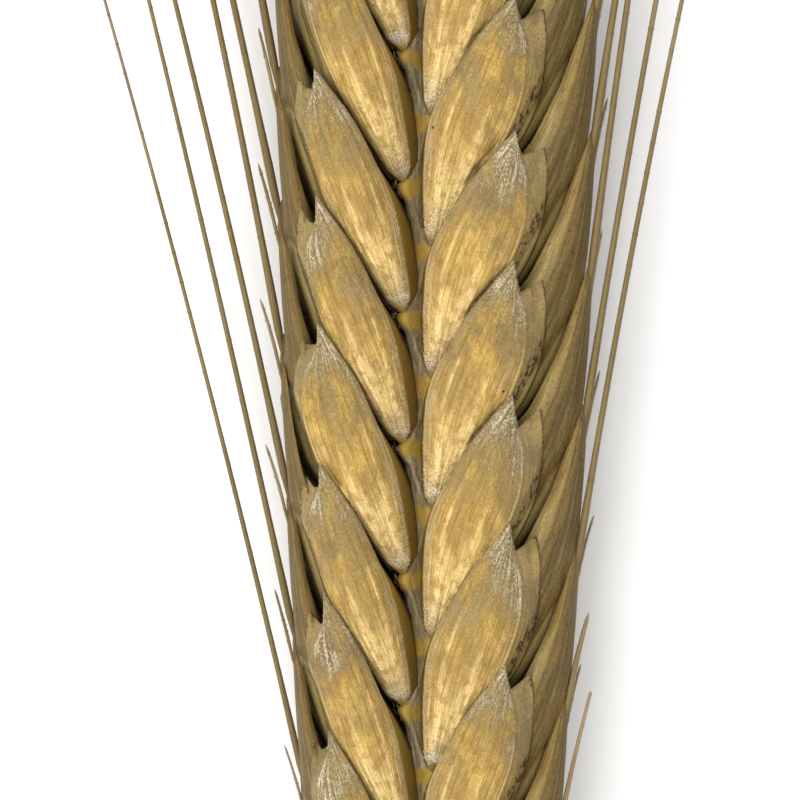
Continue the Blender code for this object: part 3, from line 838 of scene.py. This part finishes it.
def glume_finish():
    """Dry husk: golden with cream and brown streaks, greyer up to its silvery tooth, and a browner wing
    with a black-flecked edge in a streak of painted shade. A painted highlight lies on the low face, and
    painted shade darkens its inner edge, flank, back and margin and wherever it comes close to the husk
    below."""
    made = Finish("glume")
    across, up, _ = split(made, made.husk_map)
    place = made.table_map
    broad = made.noise(place, (320, 200, 320), 2)
    patches = made.noise(place, (1100, 650, 1100), 3)
    blots = made.noise(place, (3300, 2000, 3300), 4, 0.65)
    grit = made.fade(made.noise(place, (15000, 11000, 15000), 2, 0.7), 0.25, 0.75)
    streaks = made.noise(made.husk_map, (5, 1.3, 1), 4, 0.6)
    stripes = made.noise(made.husk_map, (13, 2.2, 1), 3, 0.6)
    lines = made.noise(made.husk_map, (9, 1.1, 1), 3, 0.5)
    fibres = made.noise(made.husk_map, (45, 12, 1), 3, 0.65)

    colour = made.paint(GOLD, TAN, made.fade(patches, 0.36, 0.56))
    pale = made.calc("ADD", streaks, made.calc("MULTIPLY", made.calc("SUBTRACT", 0.42, up), 0.4))
    colour = made.paint(colour, CREAM, made.both(made.fade(pale, 0.46, 0.62), 0.95))
    # A painted highlight over the cream streaks of the low face
    low_face_highlight = made.both(made.fade(up, 0.52, 0.2), made.fade(streaks, 0.3, 0.6))
    colour = made.paint(colour, HIGHLIGHT_CREAM, made.both(low_face_highlight, 0.6))
    colour = made.paint(colour, ORANGE_BROWN, made.both(made.fade(blots, 0.46, 0.62), 0.6))
    colour = made.paint(colour, NERVE_BROWN, made.both(made.fade(stripes, 0.52, 0.68), 0.5))
    vein = made.calc("ABSOLUTE", made.calc("SUBTRACT", lines, 0.5))
    colour = made.paint(colour, NERVE_BROWN, made.both(made.fade(vein, 0.03, 0.0), 0.5))
    upper = made.calc("ADD", up, made.calc("MULTIPLY", made.calc("SUBTRACT", patches, 0.5), 0.9))
    colour = made.paint(colour, DRY_GREY, made.both(made.fade(upper, 0.6, 0.95), 0.85))
    # Painted shade, rose-grey, along the face's inner edge where it dips
    edge = made.both(made.fade(across, 0.16, 0.02), made.fade(up, 0.1, 0.3))
    colour = made.paint(colour, ROSE_GREY, made.both(edge, 0.55))
    colour = made.paint(colour, PALE_STRAW, made.both(made.band(across, 0.006, 0.004, 0.02), 0.5))

    stains = made.noise(place, (800, 450, 800), 5, 0.7)
    stained = made.both(made.fade(stains, 0.48, 0.62), made.fade(up, 0.3, 0.8))
    colour = made.paint(colour, STAIN_BROWN, made.both(stained, 0.7))
    wing = made.fade(across, 1.0, made.calc("ADD", 1.04, made.both(made.fade(up, 0.5, 0.9), 0.35)))
    wing_brown = made.paint(WING_BROWN, WING_TAN, made.fade(blots, 0.42, 0.62))
    wing_brown = made.paint(wing_brown, SHOULDER_TAN, made.both(made.fade(stripes, 0.46, 0.36), 0.5))
    wing_brown = made.paint(wing_brown, NERVE_BROWN, made.both(made.fade(stripes, 0.52, 0.62), 0.5))
    wing_brown = made.paint(wing_brown, SHOULDER_TAN, made.both(made.fade(up, 0.6, 0.85), 0.75))
    wing_brown = made.paint(wing_brown, STAIN_BROWN, made.both(made.fade(stains, 0.46, 0.6), 0.6))
    colour = made.paint(colour, wing_brown, made.both(wing, 0.95))
    beside = made.fade(across, 1.03, 1.15)
    fringe = made.both(made.fade(made.room, 0.22, 0.12), made.band(up, 0.6, 0.2, 0.1))
    colour = made.paint(colour, OLIVE_CREAM, made.both(made.both(beside, fringe), 0.8))
    # A streak on the wing: a brown wash of painted shade, with black flecks of the husk's own
    flecked_shade_streak = made.both(made.band(made.room, 0.38, 0.1, 0.14), made.band(up, 0.5, 0.18, 0.14))
    flecked_shade_streak = made.both(beside, flecked_shade_streak)
    dots = made.fade(made.noise(place, (5200, 3400, 5200), 2, 0.6), 0.48, 0.58)
    colour = made.paint(colour, STREAK_BROWN, made.both(flecked_shade_streak, 0.3))
    colour = made.paint(colour, SPECK_BLACK, made.both(made.both(flecked_shade_streak, dots), 0.85))
    # Painted shade along the wing's margin, where it turns under
    margin_shade = made.both(made.band(across, 1.97, 0.03, 0.08), made.band(up, 0.5, 0.25, 0.15))
    colour = made.paint(colour, PAINTED_SHADE_BROWN, made.both(margin_shade, 0.6))
    keel = made.both(made.band(across, 0.985, 0.006, 0.014), made.band(up, 0.4, 0.2, 0.2))
    colour = made.paint(colour, PALE_STRAW, made.both(keel, 0.6))
    nerve = made.both(made.band(across, 1.03, 0.015, 0.04), made.band(up, 0.65, 0.2, 0.15))
    colour = made.paint(colour, NERVE_BROWN, made.both(nerve, 0.5))
    peppered = made.fade(made.noise(place, (7000, 5500, 7000), 2, 0.6), 0.64, 0.7)
    dirty = made.calc("MAXIMUM", made.both(wing, 0.9), made.fade(up, 0.6, 0.9))
    colour = made.paint(colour, NERVE_BROWN, made.both(made.both(peppered, dirty), 0.7))

    frost = made.fade(made.calc("ADD", grit, fibres), 0.95, 1.2)
    gleams = made.noise(made.husk_map, (16, 5, 1), 3, 0.7)
    sheen = made.fade(made.calc("ADD", gleams, made.both(grit, 0.2)), 0.56, 0.74)
    tuft = made.both(made.fade(up, 0.24, 0.05), made.fade(across, 0.7, 0.35))
    frost = made.calc("MAXIMUM", frost, made.both(made.fade(up, 0.1, 0.03), made.fade(grit, 0.35, 0.6)))
    tooth = made.both(made.fade(upper, 0.75, 1.05), made.fade(across, 1.1, 0.95))
    silvered = made.calc("MAXIMUM", made.both(frost, tuft), made.both(sheen, tooth))
    dull = made.both(made.fade(gleams, 0.5, 0.36), tooth)
    colour = made.paint(colour, STAIN_GREY, made.both(dull, 0.6))
    colour = made.paint(colour, SILVER, made.both(silvered, 0.75))
    clumps = made.both(made.fade(patches, 0.5, 0.6), made.band(up, 0.07, 0.02, 0.03))
    colour = made.paint(colour, FLEECE, made.both(made.both(clumps, made.fade(grit, 0.3, 0.6)), 0.8))
    specks = made.put("ShaderNodeTexVoronoi", {"Vector": made.sized(place, (900, 900, 900)), "Scale": 1.0})
    spot = made.both(made.fade(specks.outputs["Distance"], 0.06, 0.04), made.fade(broad, 0.5, 0.6))
    colour = made.paint(colour, SPECK_BLACK, made.both(spot, 0.9))
    colour = made.paint(colour, JOINT_AMBER, made.both(made.fade(up, 0.045, 0.015), 0.85))
    # The inner flank: amber, with painted shade deepening toward its foot beside the rachis
    flank = made.paint(FLANK_AMBER, PAINTED_SHADE_BROWN, made.fade(across, -0.55, -0.95))
    colour = made.paint(colour, flank, made.fade(across, 0.0, -0.12))
    # Painted shade over the glume's back, hidden under its face
    colour = made.paint(colour, PAINTED_SHADE_BROWN, made.fade(across, 2.0, 2.1))
    # Painted shade where the glume comes close to the husk below in its row
    close = made.paint(colour, PAINTED_SHADE_BROWN, 0.5)
    colour = made.paint(colour, close, made.fade(made.room, 0.08, 0.0))
    value = made.calc("ADD", 0.6, made.calc("MULTIPLY", fibres, 0.55))
    value = made.calc("ADD", value, made.calc("MULTIPLY", grit, 0.36))
    value = made.calc("SUBTRACT", value, made.both(made.fade(up, 0.5, 0.85), 0.22))
    colour = made.shade(colour, value)

    relief = made.calc("ADD", made.both(streaks, 0.8), made.both(stripes, 0.6))
    relief = made.calc("ADD", relief, made.both(fibres, 0.4))
    relief = made.calc("ADD", relief, made.both(grit, 0.3))
    roughness = made.calc("ADD", 0.42, made.both(fibres, 0.25))
    return made.finish(colour, relief, 0.00006, roughness, 0.22)


def lemma_finish():
    """The smoother inner husk: amber at its foot, olive where it leaves the glume, brown to the tip. A
    painted highlight lightens its crest, and painted shade darkens its outer flank, its inner wall and
    wherever it comes close to the husk below.
    """
    made = Finish("lemma")
    across, up, _ = split(made, made.husk_map)
    place = made.table_map
    patches = made.noise(place, (1000, 550, 1000), 3)
    blots = made.noise(place, (3300, 1800, 3300), 4, 0.65)
    grit = made.fade(made.noise(place, (15000, 9000, 15000), 2, 0.7), 0.25, 0.75)
    streaks = made.noise(made.husk_map, (14, 2.0, 1), 4, 0.6)
    stripes = made.noise(made.husk_map, (34, 3.0, 1), 3, 0.6)
    lines = made.noise(made.husk_map, (22, 1.5, 1), 3, 0.5)
    fibres = made.noise(made.husk_map, (100, 14, 1), 3, 0.65)
    colour = made.paint(AMBER, OLIVE, made.fade(up, 0.12, 0.25))
    bark = made.paint(BARK_BROWN, GOLD, made.both(made.fade(streaks, 0.42, 0.68), 0.75))
    bark = made.paint(bark, DRY_GREY, made.both(made.fade(patches, 0.45, 0.7), 0.6))
    colour = made.paint(colour, bark, made.fade(up, 0.4, 0.55))
    colour = made.paint(colour, ORANGE_BROWN, made.both(made.fade(blots, 0.46, 0.62), 0.55))
    colour = made.paint(colour, NERVE_BROWN, made.both(made.fade(stripes, 0.48, 0.62), 0.75))
    # Painted shade on the lemma's outer flank, the side turned from the light
    outer = made.fade(made.calc("ADD", across, made.both(streaks, 0.3)), 0.4, 0.55)
    colour = made.paint(colour, PAINTED_SHADE_OLIVE, made.both(outer, 0.85))
    bands = made.noise(made.husk_map, (11, 2.2, 1), 4, 0.65)
    colour = made.paint(colour, TAN, made.both(made.fade(bands, 0.5, 0.62), 0.7))
    colour = made.paint(colour, STAIN_GREY, made.both(made.fade(bands, 0.46, 0.34), 0.6))
    # A paler olive crest; further down, a painted highlight lightens it more
    lit_crest = made.both(made.fade(across, 0.44, 0.3), made.fade(up, 0.78, 0.62))
    colour = made.paint(colour, OLIVE_CREAM, made.both(lit_crest, 0.9))
    colour = made.paint(colour, STREAK_BROWN, made.both(made.fade(stripes, 0.5, 0.62), 0.6))
    colour = made.paint(colour, STREAK_TAN, made.both(made.fade(stripes, 0.45, 0.34), 0.5))
    stains = made.noise(place, (900, 600, 900), 5, 0.7)
    colour = made.paint(colour, NERVE_BROWN, made.both(made.fade(stains, 0.52, 0.64), 0.45))
    peppered = made.fade(made.noise(place, (6000, 4500, 6000), 2, 0.6), 0.63, 0.7)
    colour = made.paint(colour, SPECK_BLACK, made.both(peppered, 0.45))
    vein = made.calc("ABSOLUTE", made.calc("SUBTRACT", lines, 0.5))
    colour = made.paint(colour, NERVE_BROWN, made.both(made.fade(vein, 0.03, 0.0), 0.5))
    colour = made.paint(colour, PALE_STRAW, made.both(made.band(across, 0.22, 0.015, 0.04), 0.3))
    dots = made.noise(place, (4500, 3000, 4500), 2, 0.6)
    # Painted shade with black specks on the lemma's inner wall, deep in the gap
    slit_shade_and_specks = made.paint(NERVE_BROWN, SPECK_BLACK, made.fade(dots, 0.42, 0.52))
    colour = made.paint(colour, slit_shade_and_specks, made.fade(across, 0.06, 0.01))
    close = made.fade(made.room, 0.12, 0.0)
    strip = made.both(close, made.fade(across, 0.7, 0.62))
    colour = made.paint(colour, OLIVE_CREAM, made.both(strip, 0.75))
    # Painted shade beside the olive strip where the lemma comes close to the husk below, and where it lies
    # tucked under it
    colour = made.paint(colour, PAINTED_SHADE_BROWN, made.both(made.both(close, made.fade(across, 0.62, 0.7)), 0.7))
    colour = made.paint(colour, PAINTED_SHADE_BROWN, made.both(made.fade(made.room, -0.16, -0.3), 0.85))
    value = made.calc("ADD", 0.58, made.calc("MULTIPLY", fibres, 0.6))
    value = made.calc("ADD", value, made.calc("MULTIPLY", grit, 0.36))
    # Painted shade darkens the outer flank beyond the olive strip; a painted highlight lightens the crest
    outer_shade = made.both(made.fade(across, 0.36, 0.5), made.calc("SUBTRACT", 1.0, strip))
    value = made.calc("SUBTRACT", value, made.both(outer_shade, 0.32))
    value = made.calc("ADD", value, made.both(lit_crest, 0.12))
    colour = made.shade(colour, value)
    relief = made.calc("ADD", made.both(streaks, 0.7), made.both(stripes, 0.7))
    relief = made.calc("ADD", relief, made.both(grit, 0.4))
    roughness = made.calc("ADD", 0.4, made.both(fibres, 0.25))
    return made.finish(colour, relief, 0.00005, roughness, 0.22)


def awn_finish():
    """Olive brown bristle with fine lengthwise lines, darker toward its root with painted shade."""
    made = Finish("awn")
    _, up, _ = split(made, made.husk_map)
    place = made.table_map
    lines = made.noise(made.husk_map, (9, 3, 1), 2, 0.5)
    patches = made.noise(place, (500, 180, 500), 3)
    grit = made.noise(place, (9000, 3000, 9000), 2, 0.7)
    tones = made.noise(place, (190, 20, 190), 1)
    colour = made.paint(AWN_BROWN, AWN_TAN, made.fade(patches, 0.4, 0.65))
    colour = made.paint(colour, AWN_STRAW, made.both(made.fade(tones, 0.5, 0.62), 0.6))
    colour = made.paint(colour, NERVE_BROWN, made.both(made.fade(lines, 0.5, 0.62), 0.4))
    # Painted shade on the awn near its root, beside the ear
    colour = made.paint(colour, PAINTED_SHADE_OLIVE, made.both(made.fade(up, 0.5, 0.05), 0.75))
    colour = made.shade(colour, made.calc("ADD", 0.7, made.calc("MULTIPLY", grit, 0.5)))
    return made.finish(colour, made.calc("ADD", lines, grit), 0.00002, 0.5, 0.4)


def hair_finish():
    """Silvery white hairs."""
    made = Finish("hair")
    patches = made.noise(made.table_map, (2500, 2500, 2500), 2)
    colour = made.paint(SILVER, PALE_STRAW, made.fade(patches, 0.4, 0.7))
    made.shader.inputs["Sheen Weight"].default_value = 0.3
    return made.finish(colour, patches, 0.00001, 0.35, 0.5)


def stem_finish():
    """Straw with fine lines, and above it the rachis, grey with an amber collar at each joint and painted
    shade along its two side edges.
    """
    made = Finish("stem")
    place = made.table_map
    _, along, _ = split(made, place)
    across, _, _ = split(made, made.husk_map)
    level = made.calc("DIVIDE", made.calc("SUBTRACT", along, FIRST_JOINT), INTERNODE * MM)
    turn = made.calc("FRACT", made.calc("ADD", level, 100.65))
    patches = made.noise(place, (1500, 700, 1500), 3)
    grit = made.noise(place, (14000, 9000, 14000), 2, 0.7)
    lines = made.noise(place, (7000, 260, 7000), 3, 0.6)
    rachis = made.paint(ROSE_GREY, DRY_GREY, made.fade(patches, 0.35, 0.65))
    turn = made.calc("ADD", turn, made.both(made.calc("SUBTRACT", patches, 0.5), 0.5))
    rachis = made.paint(rachis, SILVER, made.both(made.fade(lines, 0.5, 0.62), 0.35))
    rachis = made.paint(rachis, JOINT_AMBER, made.band(turn, 0.5, 0.07, 0.13))
    reeds = made.noise(made.husk_map, (30, 2.5, 1), 3, 0.55)
    straw = made.paint(PALE_STRAW, GOLD, made.fade(reeds, 0.4, 0.62))
    straw = made.paint(straw, TAN, made.both(made.fade(patches, 0.5, 0.7), 0.35))
    straw = made.paint(straw, NERVE_BROWN, made.both(made.fade(lines, 0.58, 0.7), 0.3))
    # Painted shade along the rachis's two side edges, which lie deep between the rows
    lit = made.calc("ABSOLUTE", made.calc("SINE", made.calc("MULTIPLY", across, 2 * math.pi)))
    rachis = made.paint(PAINTED_SHADE_BROWN, rachis, made.fade(lit, 0.3, 0.65))
    colour = made.paint(straw, rachis, made.fade(level, -0.35, -0.1))
    value = made.calc("ADD", 0.74, made.calc("MULTIPLY", lines, 0.3))
    colour = made.shade(colour, made.calc("ADD", value, made.calc("MULTIPLY", grit, 0.2)))
    relief = made.calc("ADD", made.both(reeds, 2.0), made.both(grit, 0.4))
    return made.finish(colour, relief, 0.00003, 0.42, 0.5)


def top_finish():
    """The small top glumes, plain golden husk."""
    made = Finish("top_glume")
    place = made.table_map
    patches = made.noise(place, (900, 400, 900), 3)
    fibres = made.noise(place, (7000, 260, 7000), 3, 0.6)
    colour = made.paint(GOLD, DRY_GREY, made.fade(patches, 0.4, 0.7))
    colour = made.shade(colour, made.calc("ADD", 0.7, made.calc("MULTIPLY", fibres, 0.5)))
    return made.finish(colour, fibres, 0.00003, 0.45, 0.45)


def table_finish():
    """Plain white board with a faint paper tooth."""
    made = Finish("table")
    grain = made.noise(made.table_map, (900, 900, 900), 3)
    colour = made.shade((0.94, 0.935, 0.93), made.calc("ADD", 0.99, made.calc("MULTIPLY", grain, 0.02)))
    return made.finish(colour, grain, 0.00001, 0.8, 0.2)


def table():
    """The white board on which the ear lies."""
    bm = bmesh.new()
    bmesh.ops.create_grid(bm, x_segments=2, y_segments=2, size=1.5)
    mesh = bpy.data.meshes.new("table")
    bm.to_mesh(mesh)
    bm.free()
    mesh.materials.append(table_finish())
    board = bpy.data.objects.new("table", mesh)
    bpy.context.scene.collection.objects.link(board)


def light(name, power, size, place):
    """A soft square light that looks at the ear."""
    lamp = bpy.data.lights.new(name, "AREA")
    lamp.energy = power
    lamp.size = size
    holder = bpy.data.objects.new(name, lamp)
    holder.location = place
    holder.rotation_euler = Vector(place).to_track_quat("Z", "Y").to_euler()
    bpy.context.scene.collection.objects.link(holder)


def studio():
    """Soft light that comes mostly from the ear's left, and a white surround."""
    light("window", 2.8, 0.5, (-0.31, 0.05, 0.5))
    light("ceiling", 1.8, 0.6, (0.05, -0.1, 0.8))
    world = bpy.data.worlds.new("surround")
    world.use_nodes = True
    world.node_tree.nodes["Background"].inputs[0].default_value = (1, 1, 1, 1)
    world.node_tree.nodes["Background"].inputs[1].default_value = 0.75
    bpy.context.scene.world = world
    bpy.context.scene.view_settings.view_transform = "Standard"


def camera():
    """A long lens that looks straight down on the middle of the ear."""
    lens = bpy.data.cameras.new("camera")
    lens.lens = LENS
    lens.sensor_width = SENSOR
    lens.clip_start = 0.001
    holder = bpy.data.objects.new("camera", lens)
    reach = VIEW_WIDTH * LENS / SENSOR + VIEW_LEVEL
    holder.location = (AXIS_X + VIEW_OUT * MM, FIRST_JOINT + VIEW_UP * MM, reach * MM)
    bpy.context.scene.collection.objects.link(holder)
    bpy.context.scene.camera = holder


def main():
    finishes = {
        "glume": glume_finish(),
        "lemma": lemma_finish(),
        "awn": awn_finish(),
        "hair": hair_finish(),
        "stem": stem_finish(),
        "top": top_finish(),
    }
    draw = random.Random(DRAW_SEED)
    fine_stem = stem(draw, finishes)
    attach(fine_stem, "root")
    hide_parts("straw_and_rachis")
    for place, leans in enumerate(awn_leans()):
        husk = spikelet(place, leans, draw, finishes)
        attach(husk, "root")
        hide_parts(f"spikelet_{place + 1:02d}")
    top = top_spikelet(draw, finishes)
    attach(top, "root")
    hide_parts("spikelet_top")
    table()
    studio()
    camera()


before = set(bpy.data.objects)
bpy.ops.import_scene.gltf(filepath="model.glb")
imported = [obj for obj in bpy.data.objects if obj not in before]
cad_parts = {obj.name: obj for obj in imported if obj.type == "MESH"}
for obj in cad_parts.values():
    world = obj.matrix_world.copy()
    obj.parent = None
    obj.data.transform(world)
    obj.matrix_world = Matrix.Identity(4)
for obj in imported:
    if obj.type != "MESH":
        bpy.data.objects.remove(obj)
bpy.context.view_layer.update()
stem_low, stem_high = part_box("straw_and_rachis")
AXIS_X = (stem_low[0] + stem_high[0]) / 2
FIRST_JOINT = stem_low[1] + STRAW_LENGTH * MM
main()
